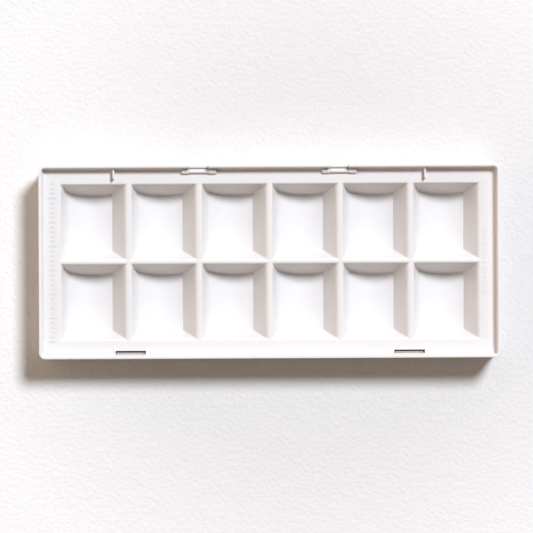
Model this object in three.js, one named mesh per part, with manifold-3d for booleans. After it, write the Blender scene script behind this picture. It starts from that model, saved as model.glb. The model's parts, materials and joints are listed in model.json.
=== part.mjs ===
// A wet palette: a hinged tray of 12 paint wells over a shallow reservoir with a sponge mat.
// Millimetres, +Z up, +X to the right and +Y to the back, where the hinges are.
// The origin is under the middle of the object, on the surface that it rests on.

import * as THREE from 'three';
import { mergeVertices } from 'three/addons/utils/BufferGeometryUtils.js';
import Module from 'manifold-3d';

const wasm = await Module();
wasm.setup();

// ---------------------------------------------------------------- driving dimensions

const OUTER_X = 231;
const OUTER_Y = 97;
const HEIGHT = 23;
const CORNER_RADIUS = 3;
const CORNER_SEGMENTS = 6;

const RIM_WALL = 1.6;
const RIM_ABOVE_FLANGE = 4.9;
const FLANGE_THICKNESS = 1.1;
const SKIRT_BOTTOM = 13.9;

const WELL_COLUMNS = 6;
const WELL_ROWS = 2;
const WELL_PITCH_X = 35.3;
const WELL_PITCH_Y = 39.9;
const WELL_OPEN_X = 32.6;
const WELL_OPEN_Y = 37.8;
const WELL_DEPTH = 14.7;
const WELL_END_RUN = 4.9;
const WELL_RAMP_RUN = 6.7;
const WELL_STEEP_RUN = 2.6;
const WELL_STEEP_DEPTH = 9.4;
const WELL_COVE_RUN = 3;
const WELL_FLOOR_RADIUS = 21;
const WELL_FLOOR_LOWEST_X = 0.5;
const WELL_FLOOR_SEGMENTS = 9;
const WELL_WALL = 0.7;

const WEB_X = 78;
const WEB_THICKNESS = 0.9;
const FIN_LENGTH = 5.3;
const FIN_HEIGHT = 3;
const RAMP_WEB_LENGTH = 5.5;
const RAMP_WEB_HEIGHT = 1.3;

const HINGE_X = 35.2;
const HINGE_WINDOW = 9.6;
const HINGE_AXIS_Y = 45.15;
const HINGE_AXIS_BELOW_RIM = 4.3;
const BARREL_RADIUS = 1;
const LUG_RADIUS = 1.1;
const LUG_REACH_X = 8.65;
const LUG_HEEL_RISE = 0.6;
const PIN_RADIUS = 0.42;
const PIN_HOLE_RADIUS = 0.6;
const PIN_END_GAP = 0.25;
const PIN_SEGMENTS = 16;
const STRAP_INNER_Y = 46.9;
const STRAP_FOOT_Z = 4;
const STRAP_TOP_BELOW_RIM = 3;
const STRAP_GAP = 0.15;
const STRAP_WEB_THICKNESS = 1;

const SLOT_CENTRE_X = 69.8;
const SLOT_LENGTH = 15.2;
const SLOT_FRONT_Y = -46.2;
const SLOT_BACK_Y = -44.5;

const LATCH_WIDTH = 14.4;
const LATCH_FRONT_Y = -46.05;
const LATCH_THICKNESS = 0.9;
const LATCH_TIP_Z = 16.3;
const LATCH_ROOT_GAP = 0.1;
const LATCH_NOSE = 0.35;
const LATCH_NOSE_LOW = 14.7;
const LATCH_NOSE_HIGH = 16;
const CATCH_LEDGE = 0.3;
const CATCH_LEDGE_HEIGHT = 0.6;

const SEAL_INSET = 5.2;
const SEAL_RIB_THICKNESS = 1;
const SEAL_RIB_BOTTOM = 12.75;
const GASKET_WIDTH = 1.2;
const GASKET_TOP = 12.6;
const GASKET_HEIGHT = 0.95;

const RESERVOIR_STEP_IN = 1;
const RESERVOIR_WALL = 1.4;
const RESERVOIR_TOP = 12.3;
const RESERVOIR_FLOOR_LOW = 0.4;
const RESERVOIR_FLOOR_HIGH = 1.2;
const BASIN_WALL = 1;
const BASIN_WALL_TOP = 11.6;

const MAT_X = 214;
const MAT_Y = 80;
const MAT_BOTTOM = 1.27;
const MAT_TOP = 2.4;
const MEMBRANE_X = 210;
const MEMBRANE_Y = 77;
const MEMBRANE_BOTTOM = 2.48;
const MEMBRANE_TOP = 2.6;
const SHEET_CORNER_RADIUS = 5;

const FOOT_RADIUS = 5;
const FOOT_TOP = 0.57;
const FOOT_POCKET_RADIUS = 5.3;
const FOOT_POCKET_TOP = 0.6;
const FOOT_INSET_X = 14;
const FOOT_INSET_Y = 12;
const FOOT_SEGMENTS = 32;

// A cut runs this far past the faces that it opens, and a joined piece this far into its host.
const CUT_MARGIN = 1;
const BURY = 0.2;

// ---------------------------------------------------------------- sizes worked out from them

const HALF_X = OUTER_X / 2;
const HALF_Y = OUTER_Y / 2;
const FLANGE_TOP = HEIGHT - RIM_ABOVE_FLANGE;
const FLANGE_BOTTOM = FLANGE_TOP - FLANGE_THICKNESS;
const RIM_INNER_Y = HALF_Y - RIM_WALL;
const HINGE_AXIS_Z = HEIGHT - HINGE_AXIS_BELOW_RIM;
const HINGE_FRONT_Y = HINGE_AXIS_Y - LUG_RADIUS;
const STRAP_HALF = HINGE_WINDOW / 2 - STRAP_GAP;
const SIDES = [-1, 1];

// ---------------------------------------------------------------- solids

function toSolid(geometry) {
  const bare = geometry.clone();
  bare.deleteAttribute('normal');
  bare.deleteAttribute('uv');
  const merged = mergeVertices(bare);
  return new wasm.Manifold(new wasm.Mesh({
    numProp: 3,
    vertProperties: Float32Array.from(merged.attributes.position.array),
    triVerts: Uint32Array.from(merged.index.array),
  }));
}

function toGeometry(solid) {
  const mesh = solid.getMesh();
  const geometry = new THREE.BufferGeometry();
  geometry.setAttribute('position', new THREE.BufferAttribute(mesh.vertProperties, 3));
  geometry.setIndex(new THREE.BufferAttribute(mesh.triVerts, 1));
  geometry.computeVertexNormals();
  return geometry;
}

function join(solids) {
  return solids.reduce((whole, solid) => whole.add(solid));
}

function cut(solid, tools) {
  return tools.reduce((rest, tool) => rest.subtract(tool), solid);
}

function box(x0, x1, y0, y1, z0, z1) {
  const geometry = new THREE.BoxGeometry(x1 - x0, y1 - y0, z1 - z0);
  geometry.translate((x0 + x1) / 2, (y0 + y1) / 2, (z0 + z1) / 2);
  return toSolid(geometry);
}

function roundedRectangle(halfX, halfY, radius) {
  const shape = new THREE.Shape();
  shape.moveTo(-halfX + radius, -halfY);
  shape.lineTo(halfX - radius, -halfY);
  shape.absarc(halfX - radius, -halfY + radius, radius, -Math.PI / 2, 0);
  shape.lineTo(halfX, halfY - radius);
  shape.absarc(halfX - radius, halfY - radius, radius, 0, Math.PI / 2);
  shape.lineTo(-halfX + radius, halfY);
  shape.absarc(-halfX + radius, halfY - radius, radius, Math.PI / 2, Math.PI);
  shape.lineTo(-halfX, -halfY + radius);
  shape.absarc(-halfX + radius, -halfY + radius, radius, Math.PI, 1.5 * Math.PI);
  return shape;
}

// A rounded plate between two heights, inset from the object's outline.
function plate(inset, z0, z1) {
  const radius = Math.max(CORNER_RADIUS - inset, 1);
  const shape = roundedRectangle(HALF_X - inset, HALF_Y - inset, radius);
  return extrudeUp(shape, z0, z1);
}

function extrudeUp(shape, z0, z1) {
  const geometry = new THREE.ExtrudeGeometry(shape, {
    depth: z1 - z0,
    bevelEnabled: false,
    curveSegments: CORNER_SEGMENTS,
  });
  geometry.translate(0, 0, z0);
  return toSolid(geometry);
}

// A ring whose outer face is inset from the object's outline.
function ring(inset, thickness, z0, z1) {
  const hole = plate(inset + thickness, z0 - CUT_MARGIN, z1 + CUT_MARGIN);
  return plate(inset, z0, z1).subtract(hole);
}

// A profile of [y, z] points carried along X.
function prismAlongX(points, x0, x1) {
  const shape = new THREE.Shape(points.map(([y, z]) => new THREE.Vector2(y, z)));
  const geometry = new THREE.ExtrudeGeometry(shape, { depth: x1 - x0, bevelEnabled: false });
  const basis = new THREE.Matrix4().makeBasis(
    new THREE.Vector3(0, 1, 0),
    new THREE.Vector3(0, 0, 1),
    new THREE.Vector3(1, 0, 0),
  );
  geometry.applyMatrix4(basis);
  geometry.translate(x0, 0, 0);
  return toSolid(geometry);
}

// A profile of [x, z] points carried along Y.
function prismAlongY(points, y0, y1) {
  const shape = new THREE.Shape(points.map(([x, z]) => new THREE.Vector2(x, z)));
  const geometry = new THREE.ExtrudeGeometry(shape, { depth: y1 - y0, bevelEnabled: false });
  const basis = new THREE.Matrix4().makeBasis(
    new THREE.Vector3(1, 0, 0),
    new THREE.Vector3(0, 0, 1),
    new THREE.Vector3(0, -1, 0),
  );
  geometry.applyMatrix4(basis);
  geometry.translate(0, y1, 0);
  return toSolid(geometry);
}

// A round bar on the hinge axis.
function hingeBar(radius, x0, x1) {
  const geometry = new THREE.CylinderGeometry(radius, radius, x1 - x0, PIN_SEGMENTS);
  geometry.rotateZ(Math.PI / 2);
  geometry.translate((x0 + x1) / 2, HINGE_AXIS_Y, HINGE_AXIS_Z);
  return toSolid(geometry);
}

// ---------------------------------------------------------------- well tray

// How far a well's floor has risen at a place across it.
function floorRise(u) {
  const across = u - WELL_FLOOR_LOWEST_X;
  return WELL_FLOOR_RADIUS - Math.sqrt(WELL_FLOOR_RADIUS ** 2 - across ** 2);
}

// One well's hollow. A positive grow gives the outside of its shell.
// Seen along Y the right wall is a flat ramp, the floor sags in a round arc, and the left wall
// rises through a cove to a steep face. Seen along X both ends slope.
function wellShape(centreX, centreY, grow) {
  const top = grow > 0 ? FLANGE_TOP - BURY : FLANGE_TOP + CUT_MARGIN;
  const halfX = WELL_OPEN_X / 2 + grow;
  const halfY = WELL_OPEN_Y / 2 + grow;
  const floorZ = FLANGE_TOP - WELL_DEPTH - grow;
  const crease = WELL_OPEN_X / 2 - WELL_RAMP_RUN + grow / 2;
  const cove = -halfX + WELL_STEEP_RUN + WELL_COVE_RUN;
  const profile = [[halfX, top], [halfX, FLANGE_TOP - BURY]];
  for (let i = 0; i <= WELL_FLOOR_SEGMENTS; i += 1) {
    const u = crease + ((cove - crease) * i) / WELL_FLOOR_SEGMENTS;
    profile.push([u, floorZ + floorRise(u)]);
  }
  profile.push(
    [-halfX + WELL_STEEP_RUN, FLANGE_TOP - WELL_STEEP_DEPTH - grow],
    [-halfX, FLANGE_TOP - BURY],
    [-halfX, top],
  );
  const across = prismAlongY(
    uniquePoints(profile).map(([x, z]) => [x + centreX, z]),
    centreY - halfY,
    centreY + halfY,
  );
  const endFoot = halfY - WELL_END_RUN;
  const ends = [
    [-endFoot, floorZ - CUT_MARGIN],
    [endFoot, floorZ - CUT_MARGIN],
    [halfY, FLANGE_TOP - BURY],
    [halfY, top],
    [-halfY, top],
    [-halfY, FLANGE_TOP - BURY],
  ];
  const along = prismAlongX(
    uniquePoints(ends).map(([y, z]) => [y + centreY, z]),
    centreX - halfX,
    centreX + halfX,
  );
  return across.intersect(along);
}

// Drops a point that repeats the one before it.
function uniquePoints(points) {
  return points.filter(([a, b], i) => {
    const [c, d] = points[(i + points.length - 1) % points.length];
    return Math.hypot(a - c, b - d) > 1e-6;
  });
}

function wellCentres() {
  const centres = [];
  for (let row = 0; row < WELL_ROWS; row += 1) {
    for (let column = 0; column < WELL_COLUMNS; column += 1) {
      centres.push([
        (column - (WELL_COLUMNS - 1) / 2) * WELL_PITCH_X,
        (row - (WELL_ROWS - 1) / 2) * WELL_PITCH_Y,
      ]);
    }
  }
  return centres;
}

// A thin web between the rim and the flange. side is +1 at the back, where it is a fin of one
// height, and -1 at the front, where it is a low ramp.
function web(x, side) {
  const length = side > 0 ? FIN_LENGTH : RAMP_WEB_LENGTH;
  const wallTop = FLANGE_TOP + (side > 0 ? FIN_HEIGHT : RAMP_WEB_HEIGHT);
  const endTop = side > 0 ? wallTop : FLANGE_TOP;
  const wallY = side * (RIM_INNER_Y + BURY);
  const endY = side * (RIM_INNER_Y - length);
  const points = [
    [wallY, FLANGE_TOP - BURY],
    [wallY, wallTop],
    [endY, endTop],
    [endY, FLANGE_TOP - BURY],
  ];
  return prismAlongX(points, x - WEB_THICKNESS / 2, x + WEB_THICKNESS / 2);
}

// The two ears beside one hinge window, joined to the flange and the rim, which carry the pin.
function hingeLugs(centreX) {
  return SIDES.flatMap((side) => {
    const x0 = centreX + (side > 0 ? HINGE_WINDOW / 2 : -LUG_REACH_X);
    const x1 = centreX + (side > 0 ? LUG_REACH_X : -HINGE_WINDOW / 2);
    const heelTop = HINGE_AXIS_Z + LUG_HEEL_RISE;
    return [
      hingeBar(LUG_RADIUS, x0, x1),
      box(x0, x1, HINGE_FRONT_Y, HINGE_AXIS_Y, FLANGE_BOTTOM, HINGE_AXIS_Z),
      box(x0, x1, HINGE_AXIS_Y, RIM_INNER_Y + BURY, FLANGE_BOTTOM, heelTop),
    ];
  });
}

function wellTray() {
  const centres = wellCentres();
  const body = join([
    ring(0, RIM_WALL, SKIRT_BOTTOM, HEIGHT),
    plate(RIM_WALL - BURY, FLANGE_BOTTOM, FLANGE_TOP),
    ring(SEAL_INSET - SEAL_RIB_THICKNESS / 2, SEAL_RIB_THICKNESS, SEAL_RIB_BOTTOM, FLANGE_TOP),
    ...centres.map(([x, y]) => wellShape(x, y, WELL_WALL)),
    ...SIDES.flatMap((x) => SIDES.map((y) => web(x * WEB_X, y))),
    ...SIDES.map((side) => catchLedge(side * SLOT_CENTRE_X)),
  ]);
  const windows = SIDES.map((side) => box(
    side * HINGE_X - HINGE_WINDOW / 2,
    side * HINGE_X + HINGE_WINDOW / 2,
    HINGE_FRONT_Y,
    HALF_Y + CUT_MARGIN,
    SKIRT_BOTTOM - CUT_MARGIN,
    HEIGHT + CUT_MARGIN,
  ));
  const slots = SIDES.map((side) => box(
    side * SLOT_CENTRE_X - SLOT_LENGTH / 2,
    side * SLOT_CENTRE_X + SLOT_LENGTH / 2,
    SLOT_FRONT_Y,
    SLOT_BACK_Y,
    FLANGE_BOTTOM - CUT_MARGIN,
    FLANGE_TOP + CUT_MARGIN,
  ));
  const hollows = centres.map(([x, y]) => wellShape(x, y, 0));
  const withLugs = join([
    cut(body, [...hollows, ...windows, ...slots]),
    ...SIDES.flatMap((side) => hingeLugs(side * HINGE_X)),
  ]);
  return cut(withLugs, SIDES.map((side) => pinHole(side * HINGE_X)));
}

function pinHole(centreX) {
  const half = LUG_REACH_X + CUT_MARGIN;
  return hingeBar(PIN_HOLE_RADIUS, centreX - half, centreX + half);
}

// The ledge inside the front skirt that a latch nose holds down.
function catchLedge(centreX) {
  return box(
    centreX - LATCH_WIDTH / 2,
    centreX + LATCH_WIDTH / 2,
    -RIM_INNER_Y - BURY,
    -RIM_INNER_Y + CATCH_LEDGE,
    SKIRT_BOTTOM,
    SKIRT_BOTTOM + CATCH_LEDGE_HEIGHT,
  );
}

// ---------------------------------------------------------------- reservoir

// A strap up the back wall, with the hinge barrel held off it by a web. It stops short of the rim.
function hingeStrap(centreX) {
  const x0 = centreX - STRAP_HALF;
  const x1 = centreX + STRAP_HALF;
  const webFoot = HINGE_AXIS_Z - STRAP_WEB_THICKNESS;
  return [
    box(x0, x1, STRAP_INNER_Y, HALF_Y, STRAP_FOOT_Z, HEIGHT - STRAP_TOP_BELOW_RIM),
    box(x0, x1, HINGE_AXIS_Y, STRAP_INNER_Y + BURY, webFoot, HINGE_AXIS_Z),
    hingeBar(BARREL_RADIUS, x0, x1),
  ];
}

function footCentres() {
  const x = HALF_X - FOOT_INSET_X;
  const y = HALF_Y - FOOT_INSET_Y;
  return {
    foot_front_left: [-x, -y],
    foot_front_right: [x, -y],
    foot_back_left: [-x, y],
    foot_back_right: [x, y],
  };
}

function disc(centre, radius, z0, z1) {
  const geometry = new THREE.CylinderGeometry(radius, radius, z1 - z0, FOOT_SEGMENTS);
  geometry.rotateX(Math.PI / 2);
  geometry.translate(centre[0], centre[1], (z0 + z1) / 2);
  return toSolid(geometry);
}

function reservoirTray() {
  const body = join([
    plate(RESERVOIR_STEP_IN, RESERVOIR_FLOOR_LOW, RESERVOIR_FLOOR_HIGH),
    ring(RESERVOIR_STEP_IN, RESERVOIR_WALL, RESERVOIR_FLOOR_LOW, RESERVOIR_TOP),
    ring(SEAL_INSET - BASIN_WALL / 2, BASIN_WALL, RESERVOIR_FLOOR_LOW, BASIN_WALL_TOP),
    ...SIDES.flatMap((side) => hingeStrap(side * HINGE_X)),
  ]);
  const pockets = Object.values(footCentres()).map((centre) => disc(
    centre,
    FOOT_POCKET_RADIUS,
    RESERVOIR_FLOOR_LOW - CUT_MARGIN,
    FOOT_POCKET_TOP,
  ));
  return cut(body, [...pockets, ...SIDES.map((side) => pinHole(side * HINGE_X))]);
}

// ---------------------------------------------------------------- latches, seal, sheets, pins

// A snap tongue that stands on the reservoir floor, with its nose near the top.
function latch(centreX) {
  const backY = LATCH_FRONT_Y + LATCH_THICKNESS;
  const noseY = LATCH_FRONT_Y - LATCH_NOSE;
  const root = RESERVOIR_FLOOR_HIGH + LATCH_ROOT_GAP;
  const points = [
    [backY, root],
    [backY, LATCH_TIP_Z],
    [LATCH_FRONT_Y, LATCH_TIP_Z],
    [noseY, LATCH_NOSE_HIGH - LATCH_NOSE],
    [noseY, LATCH_NOSE_LOW],
    [LATCH_FRONT_Y, LATCH_NOSE_LOW],
    [LATCH_FRONT_Y, root],
  ];
  return prismAlongX(points, centreX - LATCH_WIDTH / 2, centreX + LATCH_WIDTH / 2);
}

function hingePin(centreX) {
  const half = LUG_REACH_X - PIN_END_GAP;
  return hingeBar(PIN_RADIUS, centreX - half, centreX + half);
}

function gasket() {
  return ring(SEAL_INSET - GASKET_WIDTH / 2, GASKET_WIDTH, GASKET_TOP - GASKET_HEIGHT, GASKET_TOP);
}

function sheet(sizeX, sizeY, z0, z1) {
  return extrudeUp(roundedRectangle(sizeX / 2, sizeY / 2, SHEET_CORNER_RADIUS), z0, z1);
}

// ---------------------------------------------------------------- materials and scene

const FINISHES = {
  whitePlastic: { color: 0xf3f2ef, roughness: 0.3, metalness: 0 },
  sponge: { color: 0xe6d9b8, roughness: 0.95, metalness: 0 },
  paper: { color: 0xf2eee2, roughness: 0.8, metalness: 0 },
  silicone: { color: 0xd9dcdd, roughness: 0.6, metalness: 0 },
  steel: { color: 0xb9bbbd, roughness: 0.3, metalness: 1 },
  rubber: { color: 0x8f9193, roughness: 0.85, metalness: 0 },
};

const wetPalette = new THREE.Group();

function addNode(name, solid, finish) {
  const mesh = new THREE.Mesh(toGeometry(solid), new THREE.MeshStandardMaterial(FINISHES[finish]));
  mesh.name = name;
  wetPalette.add(mesh);
}

addNode('well_tray', wellTray(), 'whitePlastic');
addNode('reservoir_tray', reservoirTray(), 'whitePlastic');
addNode('sponge_mat', sheet(MAT_X, MAT_Y, MAT_BOTTOM, MAT_TOP), 'sponge');
addNode('membrane_sheet', sheet(MEMBRANE_X, MEMBRANE_Y, MEMBRANE_BOTTOM, MEMBRANE_TOP), 'paper');
addNode('seal_gasket', gasket(), 'silicone');
addNode('hinge_pin_left', hingePin(-HINGE_X), 'steel');
addNode('hinge_pin_right', hingePin(HINGE_X), 'steel');
addNode('latch_left', latch(-SLOT_CENTRE_X), 'whitePlastic');
addNode('latch_right', latch(SLOT_CENTRE_X), 'whitePlastic');
for (const [name, centre] of Object.entries(footCentres())) {
  addNode(name, disc(centre, FOOT_RADIUS, 0, FOOT_TOP), 'rubber');
}

export default wetPalette;
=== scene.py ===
import json
import math

import bmesh
import bpy
import numpy as np
from mathutils import Euler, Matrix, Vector, noise


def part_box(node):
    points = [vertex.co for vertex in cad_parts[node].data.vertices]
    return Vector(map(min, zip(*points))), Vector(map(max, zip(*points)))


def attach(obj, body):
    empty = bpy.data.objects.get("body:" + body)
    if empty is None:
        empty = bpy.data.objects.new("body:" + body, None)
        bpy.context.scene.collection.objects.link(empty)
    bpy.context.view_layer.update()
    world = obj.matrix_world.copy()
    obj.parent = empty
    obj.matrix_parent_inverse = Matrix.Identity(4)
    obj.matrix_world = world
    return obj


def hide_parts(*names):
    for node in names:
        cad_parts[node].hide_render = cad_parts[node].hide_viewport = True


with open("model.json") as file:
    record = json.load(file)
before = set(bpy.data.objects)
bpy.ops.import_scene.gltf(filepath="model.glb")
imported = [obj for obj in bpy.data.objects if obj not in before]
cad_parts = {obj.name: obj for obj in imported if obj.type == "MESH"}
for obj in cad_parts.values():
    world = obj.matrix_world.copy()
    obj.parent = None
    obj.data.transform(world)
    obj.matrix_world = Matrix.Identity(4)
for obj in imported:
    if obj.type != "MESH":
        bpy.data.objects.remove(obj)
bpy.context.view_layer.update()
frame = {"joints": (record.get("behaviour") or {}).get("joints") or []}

# The visual model of a hinged wet palette. Lengths are in millimetres until a mesh is made.
# +X is right, +Y is the back, where the hinges are, and +Z is up.

# TOUCH widens a test for a place on an exact grid line, TINY is for rounding, and SUNK is how far
# one moulded shape reaches into the next.

MM = 0.001
SIDES = (-1, 1)
TOUCH = 1e-4
TINY = 1e-6
SUNK = 0.2

# ------------------------------------------------------------------ places from the frame


def box_mm(node):
    """A node's low and high corners, rounded to a micron."""
    return [Vector([round(c / MM, 3) for c in corner]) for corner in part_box(node)]


def centre_mm(node):
    low, high = box_mm(node)
    return (low + high) / 2


def joint_mm(name):
    joint = next(j for j in frame["joints"] if j["name"] == name)
    return Vector(joint["pos_m"]) / MM


tray_high = box_mm("well_tray")[1]
reservoir_high = box_mm("reservoir_tray")[1]
hinge_axis = joint_mm("tray_hinge")
HINGE_X = centre_mm("hinge_pin_right").x
SLOT_X = centre_mm("latch_right").x

# ------------------------------------------------------------------ sizes of the tray

OUTLINE_RADIUS = 3.0
RIM_TOP = tray_high.z
RIM_WALL = 1.6
RIM_HEIGHT = 4.9
FLANGE_THICKNESS = 1.1
FLANGE_TOP = RIM_TOP - RIM_HEIGHT
FLANGE_BOTTOM = FLANGE_TOP - FLANGE_THICKNESS
SKIRT_BOTTOM = 13.9
SKIRT_ROUND = 0.3
RIM_OUTER_ROUND = 0.2
RIM_INNER_ROUND = 0.6
RIM_DRAFT = 0.25
FILLET_RADIUS = 1.8
STEP_RUN = 0.03
WELL_FREE_BORDER = 5.0

# The wells. Each BLEND is the width over which two of a well's surfaces run into each other.
COLUMNS = 6
ROWS = 2
PITCH_X = 35.3
PITCH_Y = 39.9
WELL_HALF_X = 16.15
WELL_HALF_Y = 18.7
WELL_DEPTH = 14.7
WELL_END_RUN = 4.9
WELL_RAMP_RUN = 6.7
WELL_STEEP_SLOPE = 4.2
FLOOR_RADIUS = 21.0
FLOOR_LOWEST = 0.5
FLOOR_SPREAD = 0.9 * FLOOR_RADIUS
WELL_WALL = 0.7
LIP_BLEND = 2.4
COVE_BLEND = 5.0
CREASE_BLEND = 0.3
CREASE_LAND = 0.9
CORNER_BLEND = 1.6

# The webs inside the rim: two upright fins at the back and two low ramps at the front.
WEB_X = 78.0
WEB_HALF = 0.45
WEB_CREST_HALF = 0.3
WEB_SHOULDER = 0.14
WEB_CROWN = 0.1
FIN_LENGTH = 5.3
FIN_HEIGHT = 3.0
RAMP_WEB_LENGTH = 5.5
RAMP_WEB_HEIGHT = 1.3

# The hinge windows, the latch slots and the bead behind each slot.
WINDOW_HALF = 4.8
WINDOW_FRONT = 44.05
SLOT_HALF = 7.6
SLOT_FRONT = -46.2
SLOT_BACK = -44.5
BEAD_WIDTH = 0.8
BEAD_HEIGHT = 0.3
BEAD_START = 0.25
BEAD_OVERHANG = 0.2
BEAD_FADE = 0.3

# The sealing rib under the flange.
RIB_INSET = 4.7
RIB_THICKNESS = 1.0
RIB_BOTTOM = 12.75

# The hinges: the tray's lugs, and the reservoir's barrels on their straps.
LUG_RADIUS = 1.1
LUG_OUTER = 8.65
LUG_HEEL_RISE = 0.6
BARREL_RADIUS = 1.0
PIN_HOLE_RADIUS = 0.6
EYE_STEPS = 48
EYE_CHAMFER = 0.08
STRAP_HALF = 4.65
STRAP_INNER_Y = 46.9
STRAP_FOOT_Z = 4.0
STRAP_TOP = RIM_TOP - 3.0
STRAP_WEB_THICKNESS = 1.0

# Each row of ticks: its middle in X, its first tick in Y, the count, the pitch and a long tick's length.
TICK_ROWS = (
    (-108.6, -40.0, 34, 2.4, 3.4),
    (107.6, -15.6, 14, 2.4, 2.6),
)
LONG_TICK_EVERY = 5
SHORT_TICK_SHARE = 0.6
TICK_WIDTH = 0.5
TICK_HEIGHT = 0.03

# ------------------------------------------------------------------ mesh helpers


def link(name, mesh, material):
    obj = bpy.data.objects.new(name, mesh)
    bpy.context.scene.collection.objects.link(obj)
    mesh.materials.append(material)
    return obj


def gathered(shapes):
    """Several closed shapes as one list of points and one of faces."""
    points, faces = [], []
    for shape_points, shape_faces in shapes:
        base = len(points)
        points += list(shape_points)
        faces += [[i + base for i in face] for face in shape_faces]
    return points, faces


def add_piece(name, shapes, material, body, node, sharp_degrees=38):
    """One visual piece made of closed shapes. It rides on a body and stands for one CAD node."""
    points, faces = gathered(shapes)
    mesh = bpy.data.meshes.new(name)
    mesh.from_pydata([tuple(c * MM for c in p) for p in points], [], faces)
    mesh.validate()
    mesh.shade_smooth()
    mesh.set_sharp_from_angle(angle=math.radians(sharp_degrees))
    piece = link(name, mesh, material)
    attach(piece, body)
    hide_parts(node)


def stops(*pairs):
    """Coordinates from the first place to the last. A pair is a place and the longest step after it."""
    places = []
    for (start, step), (end, _) in zip(pairs, pairs[1:]):
        count = max(1, math.ceil((end - start) / step - TINY))
        places += [start + (end - start) * i / count for i in range(count)]
    return places + [pairs[-1][0]]


def merged_lines(exact, filler, nearest=0.12):
    """The exact lines, and the filler lines that don't crowd them."""
    kept = sorted(set(round(v, 4) for v in exact))
    spare = np.array(kept)
    for value in sorted(set(round(v, 4) for v in filler)):
        if np.abs(spare - value).min() > nearest:
            kept.append(value)
    return sorted(kept)


def mirrored(values):
    return sorted(set(list(values) + [-v for v in values]))


class Plan:
    """Flat cells in X and Y that become a closed shell between a top and a bottom surface."""

    def __init__(self):
        self.index = {}
        self.points = []
        self.cells = []

    def point(self, x, y):
        key = (round(x, 4), round(y, 4))
        if key not in self.index:
            self.index[key] = len(self.points)
            self.points.append((x, y))
        return self.index[key]

    def cell(self, corners):
        """Adds a cell, turned anticlockwise, unless its corners fall together."""
        ids = []
        for x, y in corners:
            i = self.point(x, y)
            if i not in ids:
                ids.append(i)
        if len(ids) < 3:
            return
        ring = [self.points[i] for i in ids]
        area = sum(a[0] * b[1] - b[0] * a[1] for a, b in zip(ring, ring[1:] + ring[:1]))
        self.cells.append(ids if area > 0 else ids[::-1])

    def boundary(self):
        """The edges that only one cell uses."""
        edges = [edge for ids in self.cells for edge in zip(ids, ids[1:] + ids[:1])]
        known = set(edges)
        return [(a, b) for a, b in edges if (b, a) not in known]

    def shell(self, top, bottom):
        """Points and faces of the closed shell. top and bottom give a height for arrays of x and y."""
        xy = np.array(self.points)
        x, y = xy[:, 0], xy[:, 1]
        count = len(xy)
        upper = np.column_stack([x, y, top(x, y)])
        lower = np.column_stack([x, y, bottom(x, y)])
        faces = [list(ids) for ids in self.cells]
        faces += [[i + count for i in ids[::-1]] for ids in self.cells]
        faces += [[b, a, a + count, b + count] for a, b in self.boundary()]
        return compact(np.vstack([upper, lower]), faces)


def compact(points, faces):
    """Drops the points that no face uses."""
    used = sorted({i for face in faces for i in face})
    new = {old: i for i, old in enumerate(used)}
    return points[used].tolist(), [[new[i] for i in face] for face in faces]


def rounded_plan(half_x, half_y, radius, lines_x, lines_y, insets, keep, arc_steps=8):
    """A rounded rectangle cut into cells: a grid, four straight borders and four corner fans."""
    plan = Plan()
    border_x = half_x - radius
    border_y = half_y - radius

    def add(corners):
        cx = sum(c[0] for c in corners) / len(corners)
        cy = sum(c[1] for c in corners) / len(corners)
        if keep(cx, cy):
            plan.cell(corners)

    for x0, x1 in zip(lines_x, lines_x[1:]):
        for y0, y1 in zip(lines_y, lines_y[1:]):
            add([(x0, y0), (x1, y0), (x1, y1), (x0, y1)])
    for d0, d1 in zip(insets, insets[1:]):
        for side in SIDES:
            for x0, x1 in zip(lines_x, lines_x[1:]):
                y0, y1 = side * (half_y - d0), side * (half_y - d1)
                add([(x0, y0), (x1, y0), (x1, y1), (x0, y1)])
            for y0, y1 in zip(lines_y, lines_y[1:]):
                x0, x1 = side * (half_x - d0), side * (half_x - d1)
                add([(x0, y0), (x0, y1), (x1, y1), (x1, y0)])
        for sx in SIDES:
            for sy in SIDES:
                for step in range(arc_steps):
                    corners = []
                    for d, s in ((d0, step), (d0, step + 1), (d1, step + 1), (d1, step)):
                        angle = math.pi / 2 * s / arc_steps
                        reach = radius - d
                        corners.append((
                            sx * (border_x + reach * math.cos(angle)),
                            sy * (border_y + reach * math.sin(angle)),
                        ))
                    add(corners)
    return plan


def inset_of(x, y, half_x, half_y, radius):
    """How far inside a rounded rectangle's outline each point lies."""
    qx = np.abs(x) - (half_x - radius)
    qy = np.abs(y) - (half_y - radius)
    corner = (qx > 0) & (qy > 0)
    straight = radius - np.maximum(qx, qy)
    return np.where(corner, radius - np.hypot(np.maximum(qx, 0), np.maximum(qy, 0)), straight)


def smooth_max(a, b, width):
    """The higher of two heights, blended over a band of this width where they meet."""
    share = np.maximum(width - np.abs(a - b), 0) / width
    return np.maximum(a, b) + share * share * width / 4


def smooth_min(a, b, width):
    return -smooth_max(-a, -b, width)


def quarter_drop(distance, radius):
    """How far a rounded edge has dropped at a distance inside it."""
    t = np.clip(radius - distance, 0, radius)
    return radius - np.sqrt(radius * radius - t * t)


def prism_x(outline, x0, x1, chamfer=0.1):
    """A closed [y, z] outline carried along X, with a small chamfer round both ends."""
    count = len(outline)
    cy = sum(p[0] for p in outline) / count
    cz = sum(p[1] for p in outline) / count
    points, faces = [], []
    for x, inset in ((x0, chamfer), (x0 + chamfer, 0), (x1 - chamfer, 0), (x1, chamfer)):
        for y, z in outline:
            reach = math.hypot(y - cy, z - cz)
            share = max(0, reach - inset) / reach
            points.append((x, cy + (y - cy) * share, cz + (z - cz) * share))
    for level in range(3):
        for i in range(count):
            j = (i + 1) % count
            a, b = level * count, (level + 1) * count
            faces.append([a + i, a + j, b + j, b + i])
    faces.append(list(range(count)))
    faces.append(list(range(3 * count, 4 * count)))
    return orient(points, faces)


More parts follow.
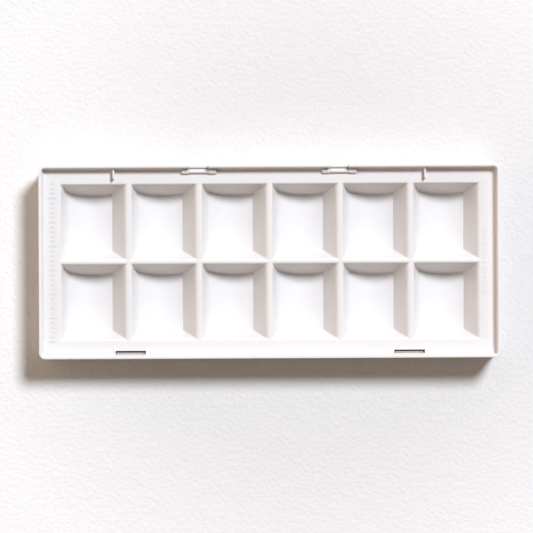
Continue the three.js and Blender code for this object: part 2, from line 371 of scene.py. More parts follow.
def orient(points, faces):
    """Turns every face of a closed shape outward."""
    bm = bmesh.new()
    made = [bm.verts.new(p) for p in points]
    for face in faces:
        bm.faces.new([made[i] for i in face])
    bmesh.ops.recalc_face_normals(bm, faces=bm.faces)
    bm.verts.index_update()
    result = [tuple(v.co) for v in bm.verts], [[v.index for v in f.verts] for f in bm.faces]
    bm.free()
    return result


def eye(radius, block, x0, x1):
    """A hinge eye round the hinge axis with a pin hole, joined with a block round the axis.

    The block is its reach in -Y, +Y, -Z and +Z.
    """
    back_y, ahead_y, low_z, high_z = block
    angles = [2 * math.pi * i / EYE_STEPS for i in range(EYE_STEPS)]
    angles += [math.atan2(z, y) % (2 * math.pi) for y in (back_y, ahead_y) for z in (low_z, high_z)]
    angles = sorted(set(round(a, 6) for a in angles))
    count = len(angles)

    def reach(angle):
        c, s = math.cos(angle), math.sin(angle)
        along_y = (ahead_y if c > 0 else back_y) / c if abs(c) > TINY else math.inf
        along_z = (high_z if s > 0 else low_z) / s if abs(s) > TINY else math.inf
        return max(radius, min(along_y, along_z))

    def around(x, angle, distance):
        y = hinge_axis.y + distance * math.cos(angle)
        z = hinge_axis.z + distance * math.sin(angle)
        return x, y, z

    points = []
    sections = ((x0, EYE_CHAMFER), (x0 + EYE_CHAMFER, 0), (x1 - EYE_CHAMFER, 0), (x1, EYE_CHAMFER))
    for x, inset in sections:
        points += [around(x, angle, reach(angle) - inset) for angle in angles]
        points += [around(x, angle, PIN_HOLE_RADIUS) for angle in angles]
    faces = []
    ring = 2 * count
    for i in range(count):
        j = (i + 1) % count
        for level in range(3):
            a, b = level * ring, (level + 1) * ring
            faces.append([a + i, a + j, b + j, b + i])
            faces.append([a + count + i, b + count + i, b + count + j, a + count + j])
        for end in (0, 3 * ring):
            faces.append([end + i, end + j, end + count + j, end + count + i])
    return orient(points, faces)


def lathe(profile, axis, origin, steps=48):
    """A closed turned shape. profile is [radius, height] points that start and end on the axis."""
    across = Vector((0, 0, 1)) if abs(axis.z) < 0.5 else Vector((1, 0, 0))
    up = axis.cross(across).normalized()
    points, rings = [], []
    for radius, height in profile:
        base = origin + axis * height
        if radius < TINY:
            rings.append([len(points)])
            points.append(tuple(base))
            continue
        rings.append(list(range(len(points), len(points) + steps)))
        for i in range(steps):
            angle = 2 * math.pi * i / steps
            points.append(tuple(base + radius * (across * math.cos(angle) + up * math.sin(angle))))
    faces = []
    for lower, higher in zip(rings, rings[1:]):
        for i in range(steps):
            j = (i + 1) % steps
            corners = ((lower, i), (lower, j), (higher, j), (higher, i))
            face = [ring[k % len(ring)] for ring, k in corners]
            faces.append(list(dict.fromkeys(face)))
    return orient(points, faces)


# ------------------------------------------------------------------ materials


class Nodes:
    """A short way to write a material's node tree."""

    def __init__(self, name):
        self.material = bpy.data.materials.new(name)
        self.material.use_nodes = True
        self.tree = self.material.node_tree
        self.surface = self.tree.nodes["Principled BSDF"]
        self.place = self.tree.nodes.new("ShaderNodeTexCoord").outputs["Object"]

    def add(self, kind, inputs=None, **settings):
        node = self.tree.nodes.new(kind)
        for name, value in settings.items():
            setattr(node, name, value)
        for name, value in (inputs or {}).items():
            self.feed(node.inputs[name], value)
        return node

    def feed(self, socket, value):
        if isinstance(value, bpy.types.NodeSocket):
            self.tree.links.new(value, socket)
        else:
            socket.default_value = value

    def set(self, **inputs):
        for name, value in inputs.items():
            self.feed(self.surface.inputs[name.replace("_", " ")], value)

    def noise(self, scale, detail=3.0, roughness=0.55, stretch=None):
        place = self.place
        if stretch:
            place = self.add("ShaderNodeMapping", {"Vector": place, "Scale": stretch}).outputs[0]
        made = self.add("ShaderNodeTexNoise", {
            "Vector": place, "Scale": scale, "Detail": detail, "Roughness": roughness,
        })
        return made.outputs["Fac"]

    def span(self, value, low, high, to_low, to_high):
        made = self.add("ShaderNodeMapRange", {
            "Value": value, "From Min": low, "From Max": high, "To Min": to_low, "To Max": to_high,
        })
        return made.outputs["Result"]

    def mix(self, share, a, b):
        made = self.add("ShaderNodeMix", data_type="RGBA")
        self.feed(made.inputs["Factor"], share)
        self.feed(made.inputs["A"], a)
        self.feed(made.inputs["B"], b)
        return made.outputs["Result"]

    def math(self, operation, a, b):
        made = self.add("ShaderNodeMath", operation=operation)
        self.feed(made.inputs[0], a)
        self.feed(made.inputs[1], b)
        return made.outputs[0]

    def bump(self, height, distance, strength=1.0, below=None):
        inputs = {"Height": height, "Distance": distance, "Strength": strength}
        if below is not None:
            inputs["Normal"] = below
        return self.add("ShaderNodeBump", inputs).outputs["Normal"]


def white_plastic():
    """Glossy moulded plastic that lets a little light into its skin."""
    n = Nodes("white_plastic")
    tone = n.span(n.noise(18.0, 2.0), 0.35, 0.65, 0.0, 1.0)
    colour = n.mix(tone, (0.790, 0.765, 0.755, 1), (0.810, 0.785, 0.775, 1))
    rough = n.span(n.noise(60.0, 3.0), 0.3, 0.7, 0.29, 0.36)
    ripple = n.bump(n.noise(45.0, 2.0), 0.0004, 0.2)
    peel = n.bump(n.noise(1400.0, 2.0), 0.00001, 0.3, below=ripple)
    n.set(
        Base_Color=colour,
        Roughness=rough,
        IOR=1.5,
        Subsurface_Weight=0.25,
        Subsurface_Radius=(1.0, 0.85, 0.7),
        Subsurface_Scale=0.0012,
        Normal=peel,
    )
    return n.material


def sponge_material():
    """An open foam with small pores and some large ones. The pores are coloured darker than the foam
    around them, as painted shade in the hollows.
    """
    n = Nodes("sponge")
    pores = n.add("ShaderNodeTexVoronoi", {"Vector": n.place, "Scale": 900.0}).outputs["Distance"]
    large = n.add("ShaderNodeTexVoronoi", {"Vector": n.place, "Scale": 260.0}).outputs["Distance"]
    depth = n.math("ADD", n.span(pores, 0.0, 0.5, 0.0, 0.6), n.span(large, 0.0, 0.35, 0.0, 0.7))
    # Painted shade: the colour darkens where the bump sinks into the pores.
    colour = n.mix(n.span(depth, 0.1, 1.0, 0.0, 1.0), (0.36, 0.28, 0.13, 1), (0.78, 0.68, 0.42, 1))
    n.set(
        Base_Color=colour,
        Roughness=0.92,
        Subsurface_Weight=0.1,
        Subsurface_Scale=0.001,
        Normal=n.bump(depth, 0.0005, 0.9),
    )
    return n.material


def membrane_material():
    """A damp fibrous paper, darker where it is wetter."""
    n = Nodes("membrane")
    fibre = n.noise(700.0, 5.0, stretch=(0.3, 1.0, 1.0))
    cloud = n.noise(40.0, 4.0)
    colour = n.mix(n.span(fibre, 0.3, 0.7, 0.0, 1.0), (0.74, 0.70, 0.60, 1), (0.86, 0.83, 0.75, 1))
    damp = n.mix(n.span(cloud, 0.35, 0.65, 0.0, 0.35), colour, (0.66, 0.61, 0.50, 1))
    n.set(
        Base_Color=damp,
        Roughness=n.span(cloud, 0.3, 0.7, 0.45, 0.7),
        Subsurface_Weight=0.2,
        Subsurface_Scale=0.0008,
        Normal=n.bump(fibre, 0.00008, 0.6),
    )
    return n.material


def silicone_material():
    n = Nodes("silicone")
    cloud = n.noise(150.0, 3.0)
    n.set(
        Base_Color=n.mix(cloud, (0.52, 0.55, 0.56, 1), (0.62, 0.65, 0.66, 1)),
        Roughness=n.span(cloud, 0.3, 0.7, 0.42, 0.55),
        Subsurface_Weight=0.35,
        Subsurface_Scale=0.0015,
        Normal=n.bump(n.noise(1800.0, 2.0), 0.00002, 0.4),
    )
    return n.material


def pin_material():
    n = Nodes("pin_steel")
    drawn = n.noise(2500.0, 2.0, stretch=(0.05, 1.0, 1.0))
    n.set(
        Base_Color=n.mix(drawn, (0.50, 0.50, 0.51, 1), (0.68, 0.68, 0.69, 1)),
        Metallic=1.0,
        Roughness=n.span(drawn, 0.3, 0.7, 0.22, 0.38),
        Normal=n.bump(drawn, 0.00001, 0.5),
    )
    return n.material


def rubber_material():
    n = Nodes("foot_rubber")
    grain = n.noise(3500.0, 4.0)
    n.set(
        Base_Color=n.mix(n.noise(200.0, 3.0), (0.12, 0.122, 0.125, 1), (0.18, 0.182, 0.186, 1)),
        Roughness=n.span(grain, 0.3, 0.7, 0.75, 0.92),
        Normal=n.bump(grain, 0.00004, 0.6),
    )
    return n.material


def paper_material():
    """White watercolour paper with a coarse tooth. Its colour is painted shade: darker in the middle and
    lighter away from it, with a little random tone on top.
    """
    n = Nodes("floor_paper")
    tooth = n.noise(480.0, 2.5, 0.5)
    soft = n.noise(130.0, 3.0)
    place = n.add("ShaderNodeMapping", {"Vector": n.place, "Location": (-0.02, 0.005, 0.0)})
    middle = n.add("ShaderNodeVectorMath", {0: place.outputs[0]}, operation="LENGTH")
    from_middle = middle.outputs["Value"]
    # Painted shade: the paper's colour is darker near the middle and lighter towards the edges, standing
    # in for uneven light on the floor.
    edge = n.span(from_middle, 0.09, 0.18, 0.0, 0.9)
    tone = n.math("ADD", edge, n.span(soft, 0.3, 0.7, 0.0, 0.1))
    colour = n.mix(tone, (0.725, 0.710, 0.700, 1), (0.850, 0.835, 0.820, 1))
    lumps = n.bump(soft, 0.0006, 0.35)
    n.set(Base_Color=colour, Roughness=0.9, Normal=n.bump(tooth, 0.0005, 0.75, below=lumps))
    return n.material


PLASTIC = white_plastic()
SPONGE = sponge_material()
MEMBRANE = membrane_material()
SILICONE = silicone_material()
STEEL = pin_material()
RUBBER = rubber_material()

# ------------------------------------------------------------------ well tray


def well_depth(u, v, grow):
    """The height of a well's surface over its flange, at a place from the well's centre.

    The left wall is steep and coves into the floor. The right wall is a flat ramp that starts from
    a narrow level land, and both ends slope. A positive grow gives the outside of the well's shell.
    Beyond the well the height rises past zero.
    """
    half_x = WELL_HALF_X + grow
    half_y = WELL_HALF_Y + grow
    crease = WELL_HALF_X - WELL_RAMP_RUN
    ramp_slope = (WELL_DEPTH - floor_rise(crease)) / WELL_RAMP_RUN
    steep = (-u - half_x) * WELL_STEEP_SLOPE
    ramp = (u - half_x) * ramp_slope
    end = (np.abs(v) - half_y) * WELL_DEPTH / WELL_END_RUN
    floor = floor_rise(np.minimum(u, crease - CREASE_LAND)) - WELL_DEPTH - grow
    long_walls = smooth_max(smooth_max(steep, floor, COVE_BLEND), ramp, CREASE_BLEND)
    corner = np.where(u < 0, CORNER_BLEND, CREASE_BLEND)
    return smooth_max(long_walls, end, corner)


def floor_rise(u):
    """How far a well's floor has risen, at a place across it."""
    across = np.clip(u - FLOOR_LOWEST, -FLOOR_SPREAD, FLOOR_SPREAD)
    return FLOOR_RADIUS - np.sqrt(FLOOR_RADIUS**2 - across**2)


def local_well(x, y):
    """Each point's place from the centre of the nearest well."""
    last_x = (COLUMNS - 1) / 2
    last_y = (ROWS - 1) / 2
    column = np.clip(np.round(x / PITCH_X + last_x), 0, COLUMNS - 1)
    row = np.clip(np.round(y / PITCH_Y + last_y), 0, ROWS - 1)
    return x - (column - last_x) * PITCH_X, y - (row - last_y) * PITCH_Y


def rim_height(d):
    """The rim and the fillet at its foot, at a distance inside the outline."""
    rim = RIM_TOP - quarter_drop(d, RIM_OUTER_ROUND) - quarter_drop(RIM_WALL - d, RIM_INNER_ROUND)
    foot = RIM_WALL + RIM_DRAFT
    reach = np.clip(foot + FILLET_RADIUS - d, 0, FILLET_RADIUS)
    fillet = FLANGE_TOP + FILLET_RADIUS - np.sqrt(FILLET_RADIUS**2 - reach**2)
    face = RIM_TOP - RIM_INNER_ROUND
    share = np.clip((d - RIM_WALL) / RIM_DRAFT, 0, 1)
    wall = face + (FLANGE_TOP + FILLET_RADIUS - face) * share
    return np.where(d <= RIM_WALL, rim, np.where(d < foot, wall, fillet))


def tray_top(x, y):
    """The flange with its wells, the rim, the four webs and the bead behind each slot."""
    d = inset_of(x, y, tray_high.x, tray_high.y, OUTLINE_RADIUS)
    u, v = local_well(x, y)
    wells = FLANGE_TOP + smooth_min(np.zeros_like(x), well_depth(u, v, 0), LIP_BLEND)
    height = np.where(d < WELL_FREE_BORDER, np.maximum(rim_height(d), FLANGE_TOP), wells)
    across = np.abs(np.abs(x) - WEB_X)
    from_wall = tray_high.y - RIM_WALL - np.abs(y)
    fin = np.where(from_wall < FIN_LENGTH + STEP_RUN / 2, FLANGE_TOP + FIN_HEIGHT, FLANGE_TOP)
    ramp = FLANGE_TOP + RAMP_WEB_HEIGHT * np.clip(1 - from_wall / RAMP_WEB_LENGTH, 0, 1)
    crown = WEB_CROWN * np.clip((across - WEB_CREST_HALF) / WEB_SHOULDER, 0, 1)
    web = np.where(y > 0, fin, ramp) - crown
    on_web = (across < WEB_HALF) & (from_wall > 0) & (from_wall < FIN_LENGTH + STEP_RUN / 2)
    height = np.where(on_web, np.maximum(height, web), height)
    bead = np.clip((y - SLOT_BACK) / BEAD_WIDTH, 0, 1)
    beside = np.clip((SLOT_HALF + BEAD_OVERHANG - np.abs(np.abs(x) - SLOT_X)) / BEAD_FADE, 0, 1)
    wave = np.sin(math.pi * (BEAD_START + (1 - BEAD_START) * bead))
    lift = BEAD_HEIGHT * wave * beside
    on_bead = (y >= SLOT_BACK - TINY) & (y < SLOT_BACK + BEAD_WIDTH)
    return np.where(on_bead, height + lift, height)


def tray_bottom(x, y):
    """The wells' undersides, the flange, the sealing rib and the foot of the skirt."""
    d = inset_of(x, y, tray_high.x, tray_high.y, OUTLINE_RADIUS)
    u, v = local_well(x, y)
    wells = FLANGE_TOP + well_depth(u, v, WELL_WALL)
    under = np.minimum(FLANGE_BOTTOM, wells)
    rib = (d > RIB_INSET - TOUCH) & (d < RIB_INSET + RIB_THICKNESS + TOUCH)
    under = np.where(rib, RIB_BOTTOM, under)
    skirt = SKIRT_BOTTOM + quarter_drop(d, SKIRT_ROUND) + quarter_drop(RIM_WALL - d, SKIRT_ROUND)
    return np.where(d <= RIM_WALL + TOUCH, skirt, under)


def in_window(x, y):
    return abs(abs(x) - HINGE_X) < WINDOW_HALF and y > WINDOW_FRONT


def in_slot(x, y):
    return abs(abs(x) - SLOT_X) < SLOT_HALF and SLOT_FRONT < y < SLOT_BACK


def repeated(places, pitch, count):
    """The same local places in each well of a run."""
    return [(i - (count - 1) / 2) * pitch + place for i in range(count) for place in places]


def well_lines_x():
    """Grid lines across a well: close at the lips, the cove and the crease, open on the floor."""
    left, right = -WELL_HALF_X, WELL_HALF_X
    crease = right - WELL_RAMP_RUN
    return stops(
        (left - 0.9, 0.26), (left + 1.3, 0.4), (left + 7.0, 1.2), (crease - 1.3, 0.2),
        (crease + 0.4, 0.5), (right - 1.4, 0.26), (right + 0.9, 0.3),
    )


def well_lines_y():
    """Grid lines along a well: close at the lips and the feet of the end walls."""
    half = WELL_HALF_Y
    foot = half - WELL_END_RUN
    return mirrored(stops(
        (0, 1.6), (foot - 0.5, 0.25), (foot + 0.9, 0.45), (half - 1.2, 0.26), (half + 0.9, 0.3),
    ))


def border_lines(high, extra):
    """Exact grid lines near an outline: the sealing rib's sides and any others."""
    near = high - RIB_INSET
    far = near - RIB_THICKNESS
    return mirrored([far - STEP_RUN, far, near, near + STEP_RUN, high - OUTLINE_RADIUS] + extra)


def tray_plan():
    web_sides = (WEB_CREST_HALF, WEB_CREST_HALF + WEB_SHOULDER, WEB_HALF + 0.04)
    web = [WEB_X + side * reach for side in SIDES for reach in web_sides]
    cuts_x = [HINGE_X - WINDOW_HALF, HINGE_X + WINDOW_HALF, SLOT_X - SLOT_HALF, SLOT_X + SLOT_HALF]
    exact_x = border_lines(tray_high.x, web + cuts_x)
    bead = [SLOT_BACK + BEAD_WIDTH * i / 4 for i in range(5)]
    exact_y = border_lines(tray_high.y, []) + bead + [WINDOW_FRONT]
    fin_end = tray_high.y - RIM_WALL - FIN_LENGTH
    exact_y += [fin_end, fin_end - STEP_RUN, -(tray_high.y - RIM_WALL - RAMP_WEB_LENGTH)]
    exact_x += repeated([WELL_HALF_X - WELL_RAMP_RUN], PITCH_X, COLUMNS)
    filler_x = repeated(well_lines_x(), PITCH_X, COLUMNS)
    filler_y = repeated(well_lines_y(), PITCH_Y, ROWS)
    edge_x = tray_high.x - OUTLINE_RADIUS
    edge_y = tray_high.y - OUTLINE_RADIUS
    lines_x = [v for v in merged_lines(exact_x, filler_x) if abs(v) <= edge_x + TINY]
    lines_y = [v for v in merged_lines(exact_y, filler_y) if abs(v) <= edge_y + TINY]
    foot = RIM_WALL + RIM_DRAFT
    inner = [RIM_WALL - RIM_INNER_ROUND * part for part in (1.0, 0.8, 0.6, 0.4, 0.25, 0.12, 0.04, 0.0)]
    insets = [0, 0.03, 0.1, RIM_OUTER_ROUND] + inner
    insets += [foot + FILLET_RADIUS * part for part in (0.0, 0.05, 0.12, 0.22, 0.35)]
    insets += [tray_high.y + SLOT_FRONT, OUTLINE_RADIUS]
    return rounded_plan(
        tray_high.x, tray_high.y, OUTLINE_RADIUS, lines_x, lines_y, sorted(insets),
        lambda x, y: not in_window(x, y) and not in_slot(x, y),
    )


def tray_marks():
    """Fine raised ticks on both end flanges, such as a moulded scale."""
    shapes = []
    for middle, first, count, pitch, long_length in TICK_ROWS:
        for i in range(count):
            length = long_length if i % LONG_TICK_EVERY == 0 else long_length * SHORT_TICK_SHARE
            shapes.append(tick(middle, first + i * pitch, length))
    return shapes


def tick(x, y, length):
    """One low bar across the flange with eased top edges, sunk a little into the flange."""
    half = TICK_WIDTH / 2
    foot = FLANGE_TOP - SUNK
    shoulder = FLANGE_TOP + TICK_HEIGHT * 0.4
    top = FLANGE_TOP + TICK_HEIGHT
    outline = [
        (y - half, foot), (y + half, foot), (y + half, shoulder),
        (y + half / 2, top), (y - half / 2, top), (y - half, shoulder),
    ]
    return prism_x(outline, x - length / 2, x + length / 2, 0.08)


def build_tray():
    shapes = [tray_plan().shell(tray_top, tray_bottom)]
    into_rim = tray_high.y - RIM_WALL + SUNK - hinge_axis.y
    into_flange = FLANGE_BOTTOM + 0.05 - hinge_axis.z
    block = (-LUG_RADIUS, into_rim, into_flange, LUG_HEEL_RISE)
    for side in SIDES:
        centre = side * HINGE_X
        for x0, x1 in ((-LUG_OUTER, -WINDOW_HALF), (WINDOW_HALF, LUG_OUTER)):
            shapes.append(eye(LUG_RADIUS, block, centre + x0, centre + x1))
    shapes += tray_marks()
    add_piece("tray_shell", shapes, PLASTIC, "tray", "well_tray")


build_tray()

# ------------------------------------------------------------------ reservoir

RES_SETBACK = 1.0
RES_HALF_X = reservoir_high.x
RES_HALF_Y = tray_high.y - RES_SETBACK
RES_RADIUS = 2.0
RES_TOP = 12.3
RES_FLOOR_LOW = 0.4
RES_FLOOR_HIGH = 1.2
RES_WALL = 1.4
RES_WALL_ROUND = 0.35
RES_BOTTOM_ROUND = 1.0
RES_FILLET = 1.0
BASIN_OUTER = 3.7
BASIN_INNER = BASIN_OUTER + 1.0
BASIN_TOP = 11.6
BASIN_ROUND = 0.25
RES_GRID_INSET = 7.0
RES_GRID_STEP = 6.0


def reservoir_top(x, y):
    """The outer wall, the basin wall that carries the seal, and the floor with its fillet."""
    d = inset_of(x, y, RES_HALF_X, RES_HALF_Y, RES_RADIUS)
    wall = RES_TOP - quarter_drop(d, RES_WALL_ROUND) - quarter_drop(RES_WALL - d, RES_WALL_ROUND)
    basin = BASIN_TOP - quarter_drop(d - BASIN_OUTER, BASIN_ROUND)
    basin = basin - quarter_drop(BASIN_INNER - d, BASIN_ROUND)
    reach = np.clip(BASIN_INNER + STEP_RUN + RES_FILLET - d, 0, RES_FILLET)
    floor = RES_FLOOR_HIGH + RES_FILLET - np.sqrt(RES_FILLET**2 - reach**2)
    on_basin = (d >= BASIN_OUTER - TOUCH) & (d <= BASIN_INNER + TOUCH)
    inner = np.where(on_basin, basin, np.where(d > BASIN_INNER, floor, RES_FLOOR_HIGH))
    return np.where(d <= RES_WALL + TOUCH, wall, inner)


def reservoir_bottom(x, y):
    d = inset_of(x, y, RES_HALF_X, RES_HALF_Y, RES_RADIUS)
    return RES_FLOOR_LOW + quarter_drop(d, RES_BOTTOM_ROUND)


def reservoir_plan():
    near = [BASIN_OUTER + step for step in (-STEP_RUN, 0, 0.12, BASIN_ROUND)]
    near += [BASIN_INNER + step for step in (-BASIN_ROUND, -0.12, 0, STEP_RUN)]
    near += [BASIN_INNER + step for step in (0.15, 0.4, 0.7, RES_FILLET + STEP_RUN)]
    lines = []
    for high in (RES_HALF_X, RES_HALF_Y):
        exact = mirrored([high - RES_RADIUS] + [high - n for n in near])
        end = high - RES_GRID_INSET
        lines.append(merged_lines(exact, stops((-end, RES_GRID_STEP), (end, RES_GRID_STEP))))
    insets = [0, 0.05, 0.15, RES_WALL_ROUND, 0.6, RES_BOTTOM_ROUND]
    insets += [RES_WALL - RES_WALL_ROUND, 1.2, 1.32, RES_WALL, RES_WALL + STEP_RUN, RES_RADIUS]
    return rounded_plan(
        RES_HALF_X, RES_HALF_Y, RES_RADIUS, lines[0], lines[1], insets, lambda x, y: True,
    )


def build_reservoir():
    shapes = [reservoir_plan().shell(reservoir_top, reservoir_bottom)]
    back = tray_high.y
    # Up the strap's outer face, round its top and down to its inner face.
    strap = [
        (STRAP_INNER_Y, STRAP_FOOT_Z), (back - 0.3, STRAP_FOOT_Z), (back, STRAP_FOOT_Z + 0.5),
        (back, STRAP_TOP - 0.35), (back - 0.1, STRAP_TOP - 0.1), (back - 0.35, STRAP_TOP),
        (STRAP_INNER_Y + 0.3, STRAP_TOP), (STRAP_INNER_Y + 0.09, STRAP_TOP - 0.09),
        (STRAP_INNER_Y, STRAP_TOP - 0.3),
    ]
    barrel_web = (0, STRAP_INNER_Y + SUNK - hinge_axis.y, -STRAP_WEB_THICKNESS, 0)
    for side in SIDES:
        ends = (side * HINGE_X - STRAP_HALF, side * HINGE_X + STRAP_HALF)
        shapes.append(prism_x(strap, *ends, 0.02))
        shapes.append(eye(BARREL_RADIUS, barrel_web, *ends))
    add_piece("reservoir_shell", shapes, PLASTIC, "reservoir", "reservoir_tray")


build_reservoir()

# ------------------------------------------------------------------ latches, pins, feet, seal

LATCH_THICKNESS = 0.9
LATCH_NOSE_LOW = 14.7
LATCH_NOSE_HIGH = 16.0
PIN_TIP = 0.18
FOOT_GROOVE = 0.12
GASKET_WIDTH = 1.2
GASKET_RADIUS = 1.6


def build_latch(name, body, node):
    """A snap tongue: up its back, over its rounded tip, down its front and round its nose."""
    low, high = box_mm(node)
    back = high.y
    front = back - LATCH_THICKNESS
    nose = low.y
    outline = [
        (back, low.z), (back, high.z - 0.3), (back - 0.1, high.z - 0.08), (back - 0.3, high.z),
        (front + 0.25, high.z), (front + 0.06, high.z - 0.12), (front, high.z - 0.35),
        (nose + 0.08, LATCH_NOSE_HIGH - 0.5), (nose, LATCH_NOSE_HIGH - 0.75),
        (nose, LATCH_NOSE_LOW + 0.15), (nose + 0.12, LATCH_NOSE_LOW),
        (front, LATCH_NOSE_LOW), (front, low.z),
    ]
    add_piece(name, [prism_x(outline, low.x, high.x, 0.12)], PLASTIC, body, node)


def build_pin(name, node):
    """A wire pin along X with both tips rounded."""
    low, high = box_mm(node)
    radius = (high.z - low.z) / 2
    length = high.x - low.x
    tip = [(0, 0), (radius * 0.6, 0), (radius * 0.9, PIN_TIP / 3), (radius, PIN_TIP)]
    profile = tip + [(across, length - along) for across, along in reversed(tip)]
    origin = Vector((low.x, hinge_axis.y, hinge_axis.z))
    pin = lathe(profile, Vector((1, 0, 0)), origin, 24)
    add_piece(name, [pin], STEEL, "reservoir", node)


def build_foot(name, node):
    """A round pad. Its sole has a hollow middle and one ring groove, both as deep as FOOT_GROOVE."""
    low, high = box_mm(node)
    radius = (high.x - low.x) / 2
    top = high.z - low.z
    profile = [(0, FOOT_GROOVE), (1.2, FOOT_GROOVE), (1.3, 0.0), (2.4, 0.0)]
    profile += [(2.5, FOOT_GROOVE), (3.0, FOOT_GROOVE), (3.1, 0.0)]
    profile += [(radius - 0.2, 0.0), (radius - 0.06, 0.06), (radius, 0.2), (radius, top - 0.06)]
    profile += [(radius - 0.06, top), (0, top)]
    origin = centre_mm(node)
    origin.z = low.z
    foot = lathe(profile, Vector((0, 0, 1)), origin, 64)
    add_piece(name, [foot], RUBBER, "reservoir", node)


def swept_ring(profile, half_x, half_y, radius, arc_steps=10):
    """A closed [inset, height] profile carried round a rounded rectangle."""
    path = []
    for sx, sy, start in ((1, 1, 0), (-1, 1, 90), (-1, -1, 180), (1, -1, 270)):
        for step in range(arc_steps + 1):
            angle = math.radians(start + 90 * step / arc_steps)
            path.append((sx, sy, math.cos(angle), math.sin(angle)))
    points, faces = [], []
    for sx, sy, c, s in path:
        for inset, z in profile:
            reach = radius - inset
            points.append((sx * (half_x - radius) + reach * c, sy * (half_y - radius) + reach * s, z))
    count = len(profile)
    for k in range(len(path)):
        a, b = k * count, (k + 1) % len(path) * count
        for i in range(count):
            j = (i + 1) % count
            faces.append([a + i, a + j, b + j, b + i])
    return orient(points, faces)


def build_gasket():
    """The soft ring on the basin wall: a square foot with a narrower lip on it."""
    low, high = box_mm("seal_gasket")
    outer = [
        (0.42, high.z), (0.3, high.z - 0.12), (0.15, low.z + 0.55),
        (0.0, low.z + 0.45), (0.0, low.z + 0.1), (0.1, low.z),
    ]
    inner = [(GASKET_WIDTH - inset, z) for inset, z in reversed(outer)]
    ring = swept_ring(outer + inner, high.x, high.y, GASKET_RADIUS)
    add_piece("seal_ring", [ring], SILICONE, "reservoir", "seal_gasket")


for side in ("left", "right"):
    build_latch("snap_" + side, side + "_latch", "latch_" + side)
    build_pin("pin_" + side, "hinge_pin_" + side)
    for end in ("front", "back"):
        build_foot("pad_" + end + "_" + side, "foot_" + end + "_" + side)
build_gasket()

# ------------------------------------------------------------------ mat and membrane

SHEET_RADIUS = 5.0
SHALLOW_PIT = 0.12
DEEP_PIT = 0.18
PAPER_WAVE = 0.05


def build_sheet(name, node, material, step, top_wave, edge_round):
    """A thin sheet with rounded corners, soft edges and a top that top_wave lowers in places."""
    low, high = box_mm(node)
    lines = []
    for edge in (high.x - SHEET_RADIUS, high.y - SHEET_RADIUS):
        lines.append(merged_lines(mirrored([edge]), stops((-edge, step), (edge, step)), step / 3))
    insets = stops((0, edge_round / 2), (edge_round, step), (SHEET_RADIUS, 1))
    plan = rounded_plan(
        high.x, high.y, SHEET_RADIUS, lines[0], lines[1], insets, lambda x, y: True, 10,
    )

    def top(x, y):
        d = inset_of(x, y, high.x, high.y, SHEET_RADIUS)
        return high.z - quarter_drop(d, edge_round) - top_wave(x, y)

    def bottom(x, y):
        d = inset_of(x, y, high.x, high.y, SHEET_RADIUS)
        return low.z + quarter_drop(d, edge_round)

    add_piece(name, [plan.shell(top, bottom)], material, "reservoir", node, 60)


def pits(x, y):
    """How far a sponge's top lies below its highest level: shallow pits and fewer deep ones."""
    return np.array([
        SHALLOW_PIT * abs(noise.noise(Vector((a * 0.55, b * 0.55, 3.0))))
        + DEEP_PIT * max(0.0, noise.noise(Vector((a * 0.9, b * 0.9, 9.0))) - 0.15)
        for a, b in zip(x, y)
    ])


def paper_wave(x, y):
    """The slow waves of a damp paper."""
    return np.array([
        PAPER_WAVE * (1 + noise.noise(Vector((a * 0.03, b * 0.05, 5.0)))) for a, b in zip(x, y)
    ])


build_sheet("sponge_sheet", "sponge_mat", SPONGE, 1.2, pits, 0.5)
build_sheet("hydration_paper", "membrane_sheet", MEMBRANE, 3.0, paper_wave, 0.05)

# ------------------------------------------------------------------ floor, light and camera

# FIELD is the width in view at the rim's height, and LIGHT_ANGLE and CAMERA_TURN are in radians.
# Each WAY points to where a light is, or where the room is brightest.
FIELD = 266.5
CAMERA_DISTANCE = 3000.0
SENSOR = 36.0
CAMERA_OFFSET = Vector((-1.61, -2.56))
CAMERA_TURN = math.radians(-0.28)
LIGHT_WAY = Vector((0.46, 0.58, 1.0)).normalized()
LIGHT_ANGLE = 0.27
LIGHT_STRENGTH = 3.78
LIGHT_COLOUR = (0.855, 0.915, 1.0)
ROOM_COLOUR = (0.54, 0.37, 0.21)
ROOM_WAY = (-0.45, 0.25, -1.0)
ROOM_LEVEL = 1.1
ROOM_LEAST = 0.1
CARD_COLOUR = (0.54, 0.58, 0.66)
CARD_WAY = (-0.90, 0.20, 0.38)
CARD_FOCUS = 3.0
FLOOR_HALF = 1500.0

floor_mesh = bpy.data.meshes.new("floor")
floor_mesh.from_pydata(
    [(x * FLOOR_HALF * MM, y * FLOOR_HALF * MM, 0) for x, y in ((-1, -1), (1, -1), (1, 1), (-1, 1))],
    [], [(0, 1, 2, 3)],
)
floor = link("floor", floor_mesh, paper_material())

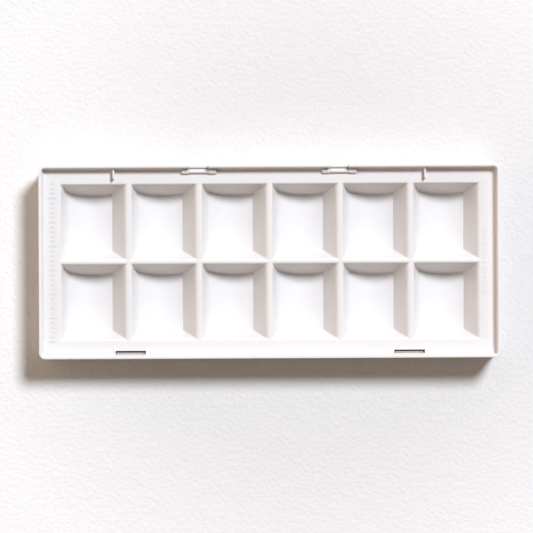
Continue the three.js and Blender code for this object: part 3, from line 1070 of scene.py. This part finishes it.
lamp = bpy.data.lights.new("key", "SUN")
lamp.angle = LIGHT_ANGLE
lamp.energy = LIGHT_STRENGTH
lamp.color = LIGHT_COLOUR
lamp_object = bpy.data.objects.new("key", lamp)
lamp_object.location = LIGHT_WAY
lamp_object.rotation_euler = LIGHT_WAY.to_track_quat("Z", "Y").to_euler()
bpy.context.scene.collection.objects.link(lamp_object)


def build_room():
    """The room's soft light: warm and stronger low down, with a pale card on the left."""
    world = bpy.data.worlds.new("room")
    world.use_nodes = True
    tree = world.node_tree
    way = tree.nodes.new("ShaderNodeTexCoord").outputs["Generated"]

    def arithmetic(operation, a, b):
        node = tree.nodes.new("ShaderNodeMath")
        node.operation = operation
        for socket, value in zip(node.inputs, (a, b)):
            if isinstance(value, bpy.types.NodeSocket):
                tree.links.new(value, socket)
            else:
                socket.default_value = value
        return node.outputs[0]

    def toward(direction):
        node = tree.nodes.new("ShaderNodeVectorMath")
        node.operation = "DOT_PRODUCT"
        node.inputs[1].default_value = direction
        tree.links.new(way, node.inputs[0])
        return node.outputs["Value"]

    room = arithmetic("MAXIMUM", arithmetic("ADD", toward(ROOM_WAY), ROOM_LEVEL), ROOM_LEAST)
    card = arithmetic("POWER", arithmetic("MAXIMUM", toward(CARD_WAY), 0.0), CARD_FOCUS)
    first = tree.nodes["Background"]
    first.inputs["Color"].default_value = (*ROOM_COLOUR, 1)
    tree.links.new(room, first.inputs["Strength"])
    second = tree.nodes.new("ShaderNodeBackground")
    second.inputs["Color"].default_value = (*CARD_COLOUR, 1)
    tree.links.new(card, second.inputs["Strength"])
    both = tree.nodes.new("ShaderNodeAddShader")
    tree.links.new(first.outputs[0], both.inputs[0])
    tree.links.new(second.outputs[0], both.inputs[1])
    tree.links.new(both.outputs[0], tree.nodes["World Output"].inputs["Surface"])
    bpy.context.scene.world = world


build_room()

camera_data = bpy.data.cameras.new("camera")
camera_data.sensor_width = SENSOR
camera_data.lens = SENSOR * CAMERA_DISTANCE / FIELD
camera = bpy.data.objects.new("camera", camera_data)
camera.location = (CAMERA_OFFSET.x * MM, CAMERA_OFFSET.y * MM, (RIM_TOP + CAMERA_DISTANCE) * MM)
camera.rotation_euler = Euler((0, 0, CAMERA_TURN))
bpy.context.scene.collection.objects.link(camera)
bpy.context.scene.camera = camera
bpy.context.scene.view_settings.view_transform = "Standard"
